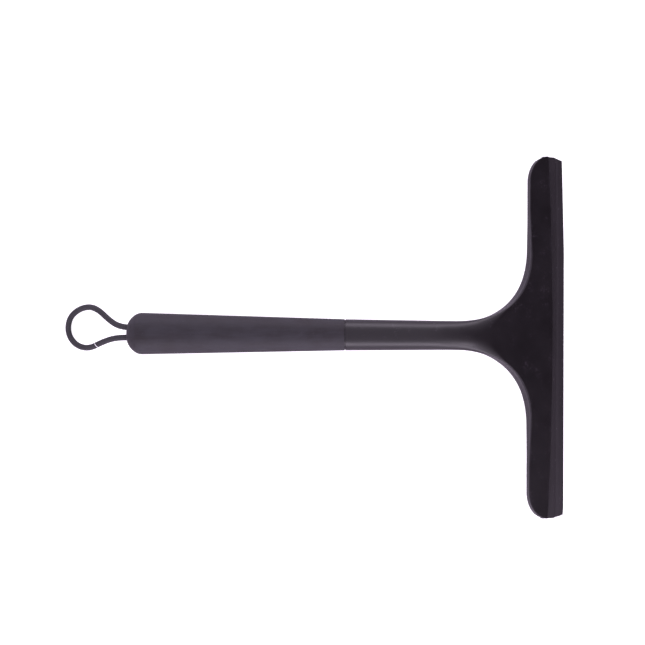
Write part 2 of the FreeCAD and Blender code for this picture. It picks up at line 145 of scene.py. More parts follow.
def head_point(u, w=0.0):
    """(x, z) of a point on the head."""
    lip_x = LIP_X - EDGE_THICKNESS / 2 * math.sin(HEAD_TILT)
    lip_z = EDGE_THICKNESS / 2 * math.cos(HEAD_TILT)
    x = lip_x + u * math.cos(HEAD_TILT) + w * math.sin(HEAD_TILT)
    return np.array([x, lip_z - u * math.sin(HEAD_TILT) + w * math.cos(HEAD_TILT)])


# ------------------------------------------------------------------ making objects


def add_object(name, data):
    """Puts an object with this mesh, curve, light or camera into the scene."""
    thing = bpy.data.objects.new(name, data)
    bpy.context.scene.collection.objects.link(thing)
    return thing


def mesh_object(name, points, faces):
    """A closed mesh from points in millimetres; points that coincide become one."""
    mesh = bpy.data.meshes.new(name)
    mesh.from_pydata([tuple(np.asarray(p) * MM) for p in points], [], faces)
    work = bmesh.new()
    work.from_mesh(mesh)
    bmesh.ops.remove_doubles(work, verts=work.verts, dist=MERGE_DISTANCE)
    bmesh.ops.dissolve_degenerate(work, dist=SHORTEST_EDGE, edges=work.edges)
    bmesh.ops.recalc_face_normals(work, faces=work.faces)
    work.to_mesh(mesh)
    work.free()
    return add_object(name, mesh)


def skin(name, rings, capped=True):
    """A closed mesh through rings of the same number of points, with its two ends capped
    unless they are drawn in to a point already."""
    count, rows = len(rings[0]), len(rings)
    ends = [tuple(range(count)), tuple(range((rows - 1) * count, rows * count))]
    faces = ends if capped else []
    for row in range(rows - 1):
        for i in range(count):
            first, after = row * count + i, row * count + (i + 1) % count
            faces.append((first, after, after + count, first + count))
    return mesh_object(name, np.vstack(rings), faces)


def apply_modifiers(thing):
    """Replaces the object's mesh by what its modifiers make of it."""
    graph = bpy.context.evaluated_depsgraph_get()
    mesh = bpy.data.meshes.new_from_object(thing.evaluated_get(graph))
    thing.modifiers.clear()
    thing.data = mesh


def combine(thing, other, operation):
    """Unites other with thing, or cuts it out of thing, and removes other."""
    step = thing.modifiers.new("combine", "BOOLEAN")
    step.operation = operation
    step.object = other
    step.solver = "EXACT"
    apply_modifiers(thing)
    bpy.data.objects.remove(other)


def smooth_shading(thing):
    """Smooth shading, with the edges above SHARP_ANGLE kept sharp."""
    work = bmesh.new()
    work.from_mesh(thing.data)
    for face in work.faces:
        face.smooth = True
    for edge in work.edges:
        edge.smooth = edge.is_manifold and edge.calc_face_angle(0.0) < SHARP_ANGLE
    work.to_mesh(thing.data)
    work.free()
    step = thing.modifiers.new("weights", "WEIGHTED_NORMAL")
    step.keep_sharp = True
    apply_modifiers(thing)


def set_material(thing, material):
    """Makes this the only material of the object."""
    thing.data.materials.clear()
    thing.data.materials.append(material)


# ------------------------------------------------------------------ materials


def add_node(tree, kind, inputs=None, **settings):
    """Adds a shader node; each of its inputs is a value or another node's socket."""
    made = tree.nodes.new(f"ShaderNode{kind}")
    for name, value in settings.items():
        setattr(made, name, value)
    for name, value in (inputs or {}).items():
        if isinstance(value, bpy.types.NodeSocket):
            tree.links.new(value, made.inputs[name])
        else:
            made.inputs[name].default_value = value
    return made


def add_range(tree, value, spans, **settings):
    """Maps value from the first two of spans to the last two."""
    names = ("From Min", "From Max", "To Min", "To Max")
    inputs = {"Value": value, **dict(zip(names, spans))}
    return add_node(tree, "MapRange", inputs, **settings).outputs["Result"]


def opaque(colour):
    """The (r, g, b, 1) that a colour input takes for an (r, g, b); a socket stays as it is."""
    return colour if isinstance(colour, bpy.types.NodeSocket) else (*colour, 1)


class Look:
    """A node material around one Principled shader, in the object's own coordinates."""

    def __init__(self, name, **sockets):
        self.material = bpy.data.materials.new(name)
        self.material.use_nodes = True
        self.tree = self.material.node_tree
        self.shader = self.tree.nodes["Principled BSDF"]
        for socket, value in sockets.items():
            self.shader.inputs[socket.replace("_", " ")].default_value = value
        self.place = self.node("TexCoord").outputs["Object"]

    def node(self, kind, inputs=None, **settings):
        """Adds a node to this material."""
        return add_node(self.tree, kind, inputs, **settings)

    def noise(self, size, detail=3.0, stretch=(1, 1, 1), roughness=0.55):
        """Noise whose features are about size metres across, drawn out by stretch."""
        scale = tuple(1 / (size * s) for s in stretch)
        place = self.node("Mapping", {"Vector": self.place, "Scale": scale}).outputs["Vector"]
        inputs = {"Vector": place, "Scale": 1.0, "Detail": detail, "Roughness": roughness}
        return self.node("TexNoise", inputs).outputs["Fac"]

    def range(self, value, *spans):
        """Maps value from the first two of spans to the last two."""
        return add_range(self.tree, value, spans)

    def mix(self, share, first, second):
        """A mix of two colours, each a socket or an (r, g, b)."""
        inputs = {0: share, 6: opaque(first), 7: opaque(second)}
        return self.node("Mix", inputs, data_type="RGBA").outputs[2]

    def math(self, operation, first, second):
        """The sum, product or other combination of two values."""
        return self.node("Math", {0: first, 1: second}, operation=operation).outputs[0]

    def attribute(self, name):
        """A number that the mesh stores for each of its points."""
        return self.node("Attribute", attribute_name=name).outputs["Fac"]

    def drive(self, socket, value):
        """Leads value into the shader."""
        self.tree.links.new(value, self.shader.inputs[socket])

    def bump(self, heights):
        """Chains bumps: each is (height socket, depth in metres, strength)."""
        normal = None
        for height, depth, strength in heights:
            inputs = {"Height": height, "Distance": depth, "Strength": strength}
            if normal:
                inputs["Normal"] = normal
            normal = self.node("Bump", inputs).outputs["Normal"]
        self.drive("Normal", normal)


def moulding_look():
    """Satin black plastic with a fine spark-eroded skin, a little dust, and rubbed edges."""
    look = Look("satin_black_moulding")
    haze = look.range(look.noise(0.022, 4.0), 0.35, 0.75, 0.0, 1.0)
    smudge = look.range(look.noise(0.009, 5.0), 0.54, 0.70, 0.0, 1.0)
    specks = look.range(look.noise(0.0012, 2.0), 0.50, 0.72, 0.0, 1.0)
    dust = look.math("MULTIPLY", smudge, specks)
    patchy = look.range(look.noise(0.004), 0.4, 0.6, 0.2, 1.0)
    rub = look.math("MULTIPLY", look.attribute("rub"), patchy)
    base = look.mix(haze, (0.0024, 0.0012, 0.0022), (0.0040, 0.0024, 0.0038))
    dusty = look.mix(dust, base, (0.0250, 0.0205, 0.0260))
    look.drive("Base Color", look.mix(rub, dusty, (0.013, 0.011, 0.014)))
    rough = look.range(haze, 0.0, 1.0, 0.34, 0.41)
    look.drive("Roughness", look.math("ADD", rough, look.math("MULTIPLY", rub, 0.03)))
    look.drive("Specular IOR Level", look.range(rub, 0.0, 1.0, 0.34, 0.25))
    skin = look.noise(0.00035, 2.0)
    look.bump([(skin, 0.00004, 0.35), (look.noise(0.006, 2.0), 0.00010, 0.25)])
    return look.material


def grip_look():
    """Soft-touch rubber: matte, finely pebbled, with blotches and streaks and a little lint."""
    look = Look("soft_touch_grip", Specular_IOR_Level=0.24, Sheen_Weight=0.03, Sheen_Roughness=0.5)
    blotch = look.range(look.noise(0.011, 4.0, stretch=(1.6, 1, 1)), 0.35, 0.65, 0.0, 1.0)
    streak = look.range(look.noise(0.0016, 3.0, stretch=(14, 1, 1)), 0.35, 0.65, 0.0, 1.0)
    blotch, streak = look.math("MULTIPLY", blotch, 0.7), look.math("MULTIPLY", streak, 0.3)
    cloud = look.math("ADD", blotch, streak)
    base = look.mix(cloud, (0.0112, 0.0088, 0.0110), (0.0222, 0.0210, 0.0255))
    lint = look.range(look.noise(0.0009, 1.0, roughness=0.2), 0.75, 0.80, 0.0, 0.3)
    look.drive("Base Color", look.mix(lint, base, (0.045, 0.041, 0.050)))
    look.drive("Roughness", look.range(cloud, 0.0, 1.0, 0.58, 0.68))
    pebble = look.noise(0.00030, 2.0)
    look.bump([(pebble, 0.00006, 0.5), (look.noise(0.009, 2.0), 0.00012, 0.2)])
    return look.material


def core_look():
    """Plain matte plastic, as moulded."""
    look = Look("matte_core_plastic", Specular_IOR_Level=0.4)
    cloud = look.noise(0.008, 3.0)
    look.drive("Base Color", look.mix(cloud, (0.020, 0.019, 0.022), (0.030, 0.029, 0.033)))
    look.drive("Roughness", look.range(cloud, 0.3, 0.7, 0.50, 0.60))
    look.bump([(look.noise(0.0004, 2.0), 0.00004, 0.4)])
    return look.material


def blade_look():
    """Extruded rubber: fine lines along the blade, a dull bloom and lint."""
    look = Look("extruded_blade_rubber", Specular_IOR_Level=0.3)
    bloom = look.range(look.noise(0.010, 4.0, stretch=(1, 3, 1)), 0.3, 0.7, 0.0, 1.0)
    lines = look.noise(0.0004, 2.0, stretch=(1, 60, 1))
    grain = look.noise(0.0005, 2.0)
    base = look.mix(bloom, (0.0082, 0.0060, 0.0080), (0.0108, 0.0082, 0.0108))
    lint = look.range(look.noise(0.0010, 1.0, roughness=0.2), 0.73, 0.80, 0.0, 0.35)
    look.drive("Base Color", look.mix(lint, base, (0.10, 0.09, 0.11)))
    look.drive("Roughness", look.range(bloom, 0.0, 1.0, 0.50, 0.62))
    look.bump([(lines, 0.00005, 0.2), (grain, 0.00006, 0.6)])
    return look.material


def cord_look():
    """Satin rubber cord."""
    look = Look("satin_cord_rubber", Specular_IOR_Level=0.16)
    cloud = look.range(look.noise(0.006, 3.0), 0.3, 0.7, 0.0, 1.0)
    look.drive("Base Color", look.mix(cloud, (0.0245, 0.0238, 0.0266), (0.0328, 0.0322, 0.0356)))
    look.drive("Roughness", look.range(cloud, 0.0, 1.0, 0.56, 0.66))
    look.bump([(look.noise(0.0004, 2.0), 0.00005, 0.4)])
    return look.material


def ring_look():
    """Pale thread."""
    look = Look("pale_thread", Specular_IOR_Level=0.4)
    fibre = look.noise(0.0003, 2.0)
    look.drive("Base Color", look.mix(fibre, (0.55, 0.55, 0.55), (0.75, 0.75, 0.75)))
    look.drive("Roughness", look.range(fibre, 0.3, 0.7, 0.6, 0.8))
    look.bump([(fibre, 0.00005, 0.5)])
    return look.material


# ------------------------------------------------------------------ the cord

# RING_HALF is half the ring's width along the cord.
RING_X = -164.4
RING_HALF = 0.22
RING_PROUD = 0.10
RING_SLANT = math.radians(12.0)
RING_STEPS_AROUND = 48
RING_STEPS_SECTION = 12

# The points that the part's own cord follows too, here as a smooth spline's control points.
CORD_ROUTE = [
    (-129.85, 2.60, 13.70),
    (-138.35, 3.95, 13.45),
    (-147.35, 4.20, 13.20),
    (-154.30, 7.25, 12.00),
    (-165.60, 17.85, 7.20),
    (-175.40, 17.30, 4.10),
    (-183.30, 11.00, 2.15),
    (-184.40, 0.55, 1.90),
    (-178.95, -7.60, 3.20),
    (-169.75, -10.15, 6.25),
    (-159.80, -5.30, 10.20),
    (-151.00, -2.70, 12.75),
    (-138.35, -2.70, 13.40),
    (-129.85, -2.00, 13.75),
]


def make_cord():
    """The hanging loop, from one socket of the anchor round to the other."""
    curve = bpy.data.curves.new("hanging_loop", "CURVE")
    curve.dimensions = "3D"
    curve.bevel_depth = CORD_DIAMETER / 2 * MM
    curve.bevel_resolution = 8
    curve.use_fill_caps = True
    spline = curve.splines.new("NURBS")
    spline.points.add(len(CORD_ROUTE) - 1)
    for point, corner in zip(spline.points, CORD_ROUTE):
        point.co = (*(Vector(corner) * MM), 1)
    spline.order_u = 3
    spline.use_endpoint_u = True
    spline.resolution_u = 16
    cord = add_object("hanging_loop", curve)
    set_material(cord, cord_look())
    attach(cord, "handle")
    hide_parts("hanging_cord")
    make_ring(cord)


def make_ring(cord):
    """The thin pale ring where the cord's two ends meet, cut at a slight slant."""
    bare = cord.data.copy()
    bare.bevel_depth = 0.0
    holder = add_object("bare_route", bare)
    graph = bpy.context.evaluated_depsgraph_get()
    mesh = bpy.data.meshes.new_from_object(holder.evaluated_get(graph))
    route = np.array([tuple(point.co) for point in mesh.vertices]) / MM
    bpy.data.objects.remove(holder)
    # The ring is on the strand with negative y.
    near = np.where(route[:, 1] < 0, np.abs(route[:, 0] - RING_X), np.inf)
    at = int(np.argmin(near))
    along = Vector(route[at + 1] - route[at - 1]).normalized()
    along.rotate(Euler((0, 0, RING_SLANT)))
    side = Vector((0, 0, 1)).cross(along).normalized()
    up = along.cross(side)
    around, section = full_turn(RING_STEPS_AROUND), full_turn(RING_STEPS_SECTION)
    points, faces = [], []
    for i, turn in enumerate(around):
        across = math.cos(turn) / math.cos(RING_SLANT)
        out = np.array(side) * across + np.array(up) * math.sin(turn)
        here, after = i * len(section), (i + 1) % len(around) * len(section)
        for j, angle in enumerate(section):
            reach = CORD_DIAMETER / 2 + RING_PROUD * math.cos(angle)
            points.append(route[at] + out * reach + np.array(along) * RING_HALF * math.sin(angle))
            beside = (j + 1) % len(section)
            faces.append((here + j, after + j, after + beside, here + beside))
    ring = mesh_object("cord_ring", points, faces)
    for face in ring.data.polygons:
        face.use_smooth = True
    set_material(ring, ring_look())
    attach(ring, "handle")
    return ring


make_cord()

# ------------------------------------------------------------------ the moulding
# The neck, bend and head are one closed skin.  Its points are worked out as (s, y, height):
# s runs along the spine from the dome, y across, and height square to the spine.  RIM and
# FOOT are the radii of the upper and the lower edge near the neck, and ARM_RIM and ARM_FOOT
# those from TAPER_END outwards.  The round neck turns into the flat head from FLAT_START to
# FLAT_END, measured level from the dome.

HALF_DEPTH = (FACE + ROOT_DEPTH) / 2
MIDDLE = (FACE - ROOT_DEPTH) / 2
UNDERCUT = ROOT_DEPTH - EDGE_DEPTH
FLAT_START = 225.5
FLAT_END = 250.0
RIM = 1.05
ARM_RIM = 0.42
FOOT = 0.5
ARM_FOOT = 1.8
JAW_RIM = 0.35
JAW_EASE = 3.0
JAW_CORNER = 0.6
PARTING_RIDGE = 0.06
PARTING_HALF = 0.18
FLARE_LEAD = 5
OUTLINE_STEP = 3.0
FACE_GRID = 1.6
EDGE_GAP = 0.45 * FACE_GRID
COLLAR_STEP = 0.001
SPIGOT_OVERLAP = 1.0
CUTTER_MARGIN = 5.0
RUB_START = 0.3
RUB_SPAN = 0.9

# How many points divide each stretch of the moulding's curves.
SPINE_POINTS = 61
TOP_LINE_POINTS = 80
FINE_POINTS = 400
EDGE_POINTS = 9
SMALL_TURN_POINTS = 6
ARM_END_POINTS = 16
FLARE_POINTS = 48
JAW_POINTS = 50
RIB_END_POINTS = 5


def make_spine():
    """Rows of s, x, z and the spine's direction, from the dome to the lip."""
    start, end = handle_point(NECK_END), head_point(BEND_END, MIDDLE)
    along_neck = np.array([math.cos(HANDLE_TILT), math.sin(HANDLE_TILT)])
    along_head = np.array([math.cos(HEAD_TILT), -math.sin(HEAD_TILT)])
    corner = meeting_point(start, along_neck, end, along_head)
    share = np.linspace(0, 1, SPINE_POINTS)[:, None]
    bend = quadratic(share, start, corner, end)
    ways = (1 - share) * (corner - start) + share * (end - corner)
    ways /= np.linalg.norm(ways, axis=1)[:, None]
    places = np.vstack([handle_point(0), bend, head_point(0, MIDDLE)])
    ways = np.vstack([ways[:1], ways, ways[-1:]])
    steps = np.linalg.norm(np.diff(places, axis=0), axis=1)
    return np.column_stack([np.concatenate([[0], np.cumsum(steps)]), places, ways])


SPINE = make_spine()
BEND_S = SPINE[-2, 0]
LIP_S = SPINE[-1, 0]


def on_spine(s):
    """x, z and the two parts of the spine's direction at s."""
    return [np.interp(s, SPINE[:, 0], SPINE[:, column]) for column in range(1, 5)]


def lay_out(points):
    """Turns (s, y, height) rows into (x, y, z) rows."""
    s, y, height = np.asarray(points).T
    x, z, way_x, way_z = on_spine(s)
    return np.column_stack([x - height * way_z, y, z + height * way_x])


def bend_share(s):
    """0 on the neck, 1 on the head."""
    return smooth((s - NECK_END) / (BEND_S - NECK_END))


def seam_inset(s):
    """How far the neck's skin is drawn in at the seam: a shallow collar, then a rounding."""
    short = np.clip(SEAM_ROUND - (s - SHOULDER), 0, SEAM_ROUND)
    rounding = SEAM_ROUND - np.sqrt(SEAM_ROUND**2 - short**2)
    return np.where(s < SHOULDER, COLLAR_INSET, rounding)


def neck_radius(s):
    """The round neck's radius."""
    radius = np.interp(s, [SHOULDER, NECK_END], [SHOULDER_RADIUS, NECK_END_RADIUS])
    return radius - seam_inset(s)


def half_height(s):
    """Half the thickness before the underside is cut up: the neck's radius, then HALF_DEPTH."""
    share = bend_share(s)
    return neck_radius(s) * (1 - share) + HALF_DEPTH * share


def make_top_line():
    """Rows of s and height for the long curve from the neck's top down into the face."""
    start = handle_point(TOP_BEND_START, neck_radius(TOP_BEND_START))
    end = head_point(TOP_BEND_END, FACE)
    along_neck = start - handle_point(SHOULDER, SHOULDER_RADIUS)
    along_head = head_point(0, FACE) - end
    corner = meeting_point(start, along_neck, end, along_head)
    curve = quadratic(np.linspace(0, 1, FINE_POINTS)[:, None], start, corner, end)
    rows = []
    for s in np.linspace(TOP_BEND_START, BEND_S + BEND_END - TOP_BEND_END, TOP_LINE_POINTS):
        x, z, way_x, way_z = on_spine(s)
        ahead = (curve[:, 0] - x) * way_x + (curve[:, 1] - z) * way_z
        height = (curve[:, 1] - z) * way_x - (curve[:, 0] - x) * way_z
        rows.append((s, np.interp(0.0, ahead, height)))
    return np.array(rows)


TOP_LINE = make_top_line()


def top_height(s):
    """The height of the skin's middle above the spine."""
    on_curve = np.interp(s, TOP_LINE[:, 0], TOP_LINE[:, 1])
    before, after = s < TOP_LINE[0, 0], s > TOP_LINE[-1, 0]
    return np.where(before, neck_radius(s), np.where(after, HALF_DEPTH, on_curve))


def eased_ramp(value, length):
    """0 before 0, 1 after length, nearly straight between with softened ends."""
    share = np.clip(value / length, 0, 1)
    return 0.5 * share + 0.5 * smooth(share)


def bottom_depth(s, y):
    """The underside's depth below the spine, cut up towards the jaws and along each arm."""
    wedge = eased_ramp(s - LIP_S - HEAD_BACK, JAW_MIDDLE - HEAD_BACK)
    taper = eased_ramp(np.abs(y) - TAPER_START, TAPER_END - TAPER_START)
    cut = np.minimum((wedge**3 + taper**3) ** (1 / 3), 1.0)
    return half_height(s) - UNDERCUT * cut


def flare_outline():
    """The outline from the neck to the straight back edge, as (s, y): a quarter of a
    superellipse as seen from above."""
    s = np.linspace(NECK_END - FLARE_LEAD, LIP_S, FINE_POINTS)
    x, _, _, way_z = on_spine(s)
    seen = x - DOME_X + half_height(s) * way_z * bend_share(s)
    end = np.interp(LIP_S + HEAD_BACK, s, seen)
    angle = quarter_turn(FLARE_POINTS)
    power = 2 / FLARE_POWER
    along = FLARE_START + (end - FLARE_START) * np.sin(angle) ** power
    across = FLARE_REACH - (FLARE_REACH - FLARE_ROOT) * np.cos(angle) ** power
    return np.column_stack([np.interp(along, seen, s), across])


def neck_outline():
    """The collar, the seam's rounding and the straight neck."""
    collar = (SHOULDER - COLLAR_LENGTH, SHOULDER - COLLAR_STEP)
    rounding = SHOULDER + SEAM_ROUND * (1 - np.cos(quarter_turn(SMALL_TURN_POINTS)))
    straight = np.arange(SHOULDER + OUTLINE_STEP, NECK_END, OUTLINE_STEP)
    s = np.concatenate([collar, rounding, straight])
    return np.column_stack([s, neck_radius(s)])


def arm_outline():
    """The arm's back edge, its rounded end and the jaws' sharp corner."""
    jaw_u = JAW_MIDDLE - JAW_BOW
    corner_y = HALF_WIDTH - CORNER_LENGTH
    back_y = np.arange(FLARE_REACH + OUTLINE_STEP, corner_y, OUTLINE_STEP)
    back_s = LIP_S + np.interp(back_y, [FLARE_REACH, TAPER_END], [HEAD_BACK, ARM_BACK])
    turn = quarter_turn(ARM_END_POINTS)
    depth = jaw_u - JAW_CORNER - ARM_BACK
    end_s = LIP_S + ARM_BACK + depth * (1 - np.cos(turn))
    end_y = corner_y + CORNER_LENGTH * np.sin(turn)
    turn = quarter_turn(SMALL_TURN_POINTS)[1:]
    jaw_s = LIP_S + jaw_u - JAW_CORNER * (1 - np.sin(turn))
    jaw_y = HALF_WIDTH - JAW_CORNER * (1 - np.cos(turn))
    s, y = np.concatenate([back_s, end_s, jaw_s]), np.concatenate([back_y, end_y, jaw_y])
    return np.column_stack([s, y])


def half_outline():
    """The moulding's outline on its +Y side, as (s, y), from the seam to the jaws' middle."""
    y = np.linspace(HALF_WIDTH - JAW_CORNER - 1.0, 0, JAW_POINTS)
    jaws = np.column_stack([LIP_S + JAW_MIDDLE - JAW_BOW * (y / HALF_WIDTH) ** 2, y])
    return np.vstack([neck_outline(), flare_outline(), arm_outline(), jaws])


def inward_ways(outline):
    """Unit (s, y) steps into the moulding, one for each place on its outline."""
    along = np.gradient(outline, axis=0)
    along[-1] = (0, -1)
    along /= np.linalg.norm(along, axis=1)[:, None]
    inward = np.column_stack([along[:, 1], -along[:, 0]])
    inward[outline[:, 0] < NECK_END] = (0, -1)
    return inward


def edge_sizes(outline):
    """For each place on the outline: how flat the moulding is, from 0 on the round neck to 1
    on the head, and the radii of the upper and the lower edge where it is flat."""
    s, y = outline.T
    x, _, _, _ = on_spine(s)
    flat = smooth((x - DOME_X - FLAT_START) / (FLAT_END - FLAT_START))
    at_jaws = smooth((s - (LIP_S + JAW_MIDDLE - JAW_BOW - JAW_EASE)) / JAW_EASE)
    at_jaws[: len(outline) // 2] = 0
    out_along_arm = np.clip((y - FLARE_REACH / 2) / (TAPER_END - FLARE_REACH / 2), 0, 1)
    rim = RIM + (ARM_RIM - RIM) * out_along_arm
    foot = FOOT + (ARM_FOOT - FOOT) * out_along_arm
    return flat, rim + (JAW_RIM - rim) * at_jaws, foot + (JAW_RIM - foot) * at_jaws


def half_section(place, inward, flat, radius, height):
    """Points from a flat out to the outline: along a quarter of an ellipse on the neck, and
    round an edge of this radius on the head.  height gives the flat's at an s and y."""
    extent = place[1] * (1 - flat) + radius * flat
    drop = height(*place) * (1 - flat) + radius * flat
    points = []
    for angle in quarter_turn(EDGE_POINTS):
        at = place + inward * extent * (1 - math.sin(angle))
        points.append((*at, height(*at) - drop * (1 - math.cos(angle))))
    return np.array(points)


def rim_sections():
    """One row of (s, y, height) points per place on the half outline, from the top's flat
    round the rim, over the parting line, to the bottom's."""
    outline = half_outline()
    sections = []
    for place, inward, flat, rim, foot in zip(outline, inward_ways(outline), *edge_sizes(outline)):
        top = half_section(place, inward, flat, rim, lambda s, y: top_height(s))
        bottom = half_section(place, inward, flat, foot, bottom_depth) * (1, 1, -1)
        middle, half = (top[-1, 2] + bottom[-1, 2]) / 2, PARTING_HALF * flat
        proud = place - inward * PARTING_RIDGE * flat
        ridge = [(*place, middle + half), (*proud, middle), (*place, middle - half)]
        sections.append(np.vstack([top, ridge, bottom[::-1]]))
    return np.array(sections)


def fill_flat(edge):
    """Triangles over the area inside a closed (s, y) edge, with points spread over it."""
    low, high = edge.min(axis=0), edge.max(axis=0)
    spread = []
    after = np.roll(edge, -1, axis=0)
    for s in np.arange(low[0] + FACE_GRID / 2, high[0], FACE_GRID):
        crossing = (edge[:, 0] > s) != (after[:, 0] > s)
        share = (s - edge[crossing, 0]) / (after[crossing, 0] - edge[crossing, 0])
        walls = np.sort(edge[crossing, 1] + share * (after[crossing, 1] - edge[crossing, 1]))
        for left, right in zip(walls[::2], walls[1::2]):
            count = int((right - left) / FACE_GRID)
            spread += [(s, y) for y in np.linspace(left, right, count + 2)[1:-1]]
    spread = np.array(spread)
    gaps = np.linalg.norm(spread[:, None] - edge[None], axis=2).min(axis=1)
    spread = spread[gaps > EDGE_GAP]
    points = [Vector(p) for p in np.vstack([edge, spread])]
    ring = list(range(len(edge)))
    made = delaunay_2d_cdt(points, [], [ring], 1, NEARLY_ZERO)
    return np.array([tuple(p) for p in made[0]]), [tuple(face) for face in made[2]]


def moulding_skin():
    """The skin's (s, y, height) points and its faces: the rims of both halves, the cap at the
    seam, and the flats above and below."""
    sections = rim_sections()
    count, rows = sections.shape[:2]
    points, faces = [], []
    for side in (1, -1):
        first = len(points)
        points += [tuple(p) for p in (sections * (1, side, 1)).reshape(-1, 3)]
        for i in range(count - 1):
            for j in range(rows - 1):
                at = first + i * rows + j
                faces.append((at, at + 1, at + rows + 1, at + rows))
    cap = list(range(rows)) + [count * rows + j for j in range(rows - 2, 0, -1)]
    faces.append(tuple(cap))
    for row in (0, rows - 1):
        inner = sections[:, row, :2]
        start = np.nonzero(inner[:, 1] > NEARLY_ZERO)[0][0] - 1
        edge = np.vstack([inner[start:], inner[start + 1 : -1][::-1] * (1, -1)])
        flat, triangles = fill_flat(edge)
        heights = top_height(flat[:, 0]) if row == 0 else -bottom_depth(*flat.T)
        first = len(points)
        points += [tuple(p) for p in np.column_stack([flat, heights])]
        faces += [tuple(first + corner for corner in triangle) for triangle in triangles]
    return points, faces


def make_moulding():
    """The neck and head in one satin black moulding, with the blade's channel and the spigot."""
    points, faces = moulding_skin()
    moulding = mesh_object("neck_and_head", lay_out(points), faces)
    combine(moulding, make_channel_cutter(), "DIFFERENCE")
    combine(moulding, make_spigot(), "UNION")
    smooth_shading(moulding)
    mark_rubbed_edges(moulding)
    set_material(moulding, moulding_look())
    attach(moulding, "handle")
    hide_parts("head_and_neck")


def make_channel_cutter():
    """The channel that the blade's bead slides in, run out past the mouth and both ends."""
    mouth, back = MOUTH_GAP / 2, CHANNEL_HEIGHT / 2
    half = [
        (CUTTER_MARGIN, mouth),
        (CHANNEL_MOUTH, mouth),
        (CHANNEL_MOUTH, back),
        (CHANNEL_BACK, back),
    ]
    u, w = np.array(half + [(u, -w) for u, w in reversed(half)]).T
    x, z = head_point(u, w)
    ends = (-HALF_WIDTH - CUTTER_MARGIN, HALF_WIDTH + CUTTER_MARGIN)
    return skin("channel", [np.column_stack([x, np.full_like(x, y), z]) for y in ends])


def make_spigot():
    """The cross-shaped ribs that hold the neck inside the handle."""
    half_rib = RIB_THICKNESS / 2
    lean = math.asin(half_rib / BORE_RADIUS)
    inner = half_rib * math.sqrt(2)
    outline = []
    for quarter in range(4):
        middle = quarter * math.pi / 2
        for angle in np.linspace(middle - lean, middle + lean, RIB_END_POINTS):
            outline.append((BORE_RADIUS * math.cos(angle), BORE_RADIUS * math.sin(angle)))
        corner = middle + math.pi / 4
        outline.append((inner * math.cos(corner), inner * math.sin(corner)))
    y, height = np.array(outline).T
    rings = []
    for along in (SPIGOT_START, SHOULDER + SPIGOT_OVERLAP):
        x, z = handle_point(along, height)
        rings.append(np.column_stack([x, y, z]))
    return skin("spigot", rings)


def mark_rubbed_edges(thing):
    """Stores how sharply convex the skin is at each point, for wear along the edges."""
    work = bmesh.new()
    work.from_mesh(thing.data)
    sharpness = []
    for point in work.verts:
        most = 0.0
        for edge in point.link_edges:
            if edge.is_manifold and edge.is_convex:
                length = max(edge.calc_length(), NEARLY_ZERO)
                width = sum(face.calc_area() / length for face in edge.link_faces) / 2
                most = max(most, edge.calc_face_angle(0.0) * MM / max(width, NEARLY_ZERO))
        sharpness.append(most)
    work.free()
    layer = thing.data.attributes.new("rub", "FLOAT", "POINT")
    layer.data.foreach_set("value", smooth((np.array(sharpness) - RUB_START) / RUB_SPAN))


make_moulding()

# ------------------------------------------------------------------ the grip

GRIP_LENGTH = 145.0
GRIP_WALL = 2.0
GRIP_SEGMENTS = 96
HOLE_SEGMENTS = 32
DOME_POINTS = 40
SIDE_POINTS = 24
INNER_DOME_POINTS = 24
NOSE_SHORT = 1.15
NOSE_SHORT_START = 2.0
NOSE_SHORT_END = 13.0
CORD_HOLE_RADIUS = 2.05
CORD_HOLE_MARGIN = 2.0
CORD_HOLES_Y = (3.95, -2.70)


def dome_arc(inset, count):
    """(along, radius) of the closed end's rounding, moved in by inset."""
    turn = quarter_turn(count)
    reach = NOSE_RADIUS - inset
    return np.column_stack([NOSE_RADIUS - reach * np.cos(turn), NOSE_FLAT + reach * np.sin(turn)])


def grip_profile():
    """The sleeve's outline as (along, radius), outside from the nose to the seam and back
    inside; the nose is a little blunter than the CAD's."""
    outer = dome_arc(0, DOME_POINTS)
    span = NOSE_SHORT_END - NOSE_SHORT_START
    outer[:, 0] += NOSE_SHORT * (1 - smooth((outer[:, 0] - NOSE_SHORT_START) / span))
    side = np.linspace(NOSE_RADIUS, GRIP_LENGTH - SEAM_ROUND, SIDE_POINTS)[1:]
    nose_reach = NOSE_RADIUS + NOSE_FLAT
    side_radius = np.interp(side, [NOSE_RADIUS, GRIP_LENGTH], [nose_reach, SHOULDER_RADIUS])
    turn = quarter_turn(SMALL_TURN_POINTS)[1:]
    rounding_along = GRIP_LENGTH - SEAM_ROUND * (1 - np.sin(turn))
    rounding_radius = SHOULDER_RADIUS - SEAM_ROUND * (1 - np.cos(turn))
    parts = [
        [(outer[0, 0], 0.0)],
        outer,
        np.column_stack([side, side_radius]),
        np.column_stack([rounding_along, rounding_radius]),
        [(GRIP_LENGTH, SHOULDER_RADIUS - GRIP_WALL)],
        dome_arc(GRIP_WALL, INNER_DOME_POINTS)[::-1],
        [(GRIP_WALL, 0.0)],
    ]
    return np.vstack(parts)


def ring_across(along, radius, turn, y=0.0):
    """Points round a circle square to the handle, whose middle is y off its axis."""
    x, z = handle_point(along, radius * np.sin(turn))
    return np.column_stack([x, y + radius * np.cos(turn), z])


